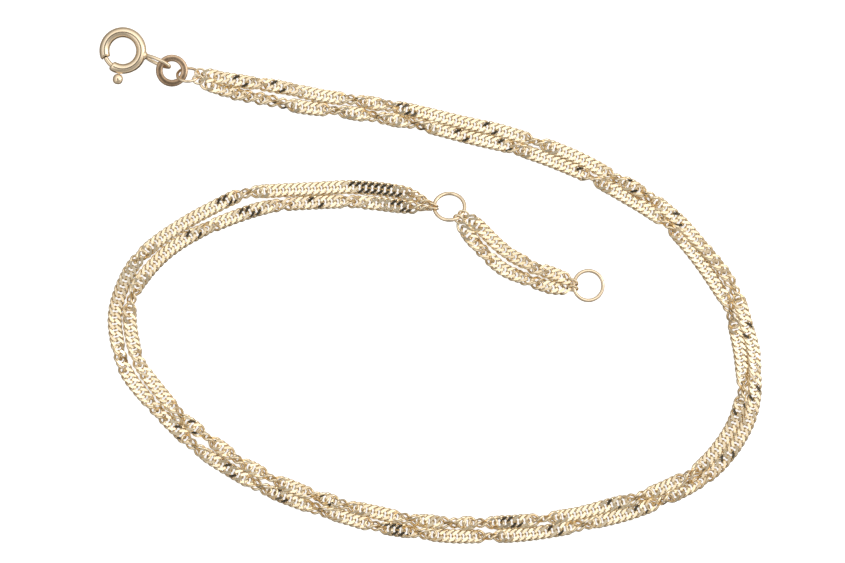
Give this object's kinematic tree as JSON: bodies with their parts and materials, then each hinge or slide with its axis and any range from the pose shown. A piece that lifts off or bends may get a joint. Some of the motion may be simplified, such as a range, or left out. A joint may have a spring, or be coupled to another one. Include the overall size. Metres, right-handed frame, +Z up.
{
  "type": "two-strand chain anklet",
  "caption": "Anklet of two fine twisted chain strands from a spring-ring clasp to a plain ring, with a short two-strand extender and end ring, laid open and flat.",
  "frame": {"origin": "middle of the anklet's outline as it lies, on the surface it rests on", "axes": "+X along the longer way across the laid-out loop, the clasp at -X; +Y towards the clasp's side; +Z up from the surface"},
  "size_m": [0.0772, 0.0602, 0.0022],
  "materials": {
    "polished_gold": "polished pale yellow gold wire and tube",
    "worn_gold": "slightly dull, rosier gold with fine scratches",
    "chain_gold": "diamond-cut pale yellow gold chain, bright flats on round wire"
  },
  "bodies": {
    "anklet": {"clasp_ring": "polished_gold", "tag_ring": "worn_gold", "jump_ring": "polished_gold", "middle_ring": "polished_gold", "end_ring": "polished_gold", "outer_strand": "chain_gold", "inner_strand": "chain_gold", "extender_upper": "chain_gold", "extender_lower": "chain_gold"},
    "bolt": {"clasp_bolt": "polished_gold"}
  },
  "joints": [
    {"name": "clasp_trigger", "type": "hinge", "parent": "anklet", "child": "bolt", "pos_m": [-0.0359, 0.02736, 0.0006], "axis": [0, 0, 1], "range_deg": [0, 36], "stiffness_Nm_per_rad": 0.002, "springref_deg": -17.19}
  ]
}
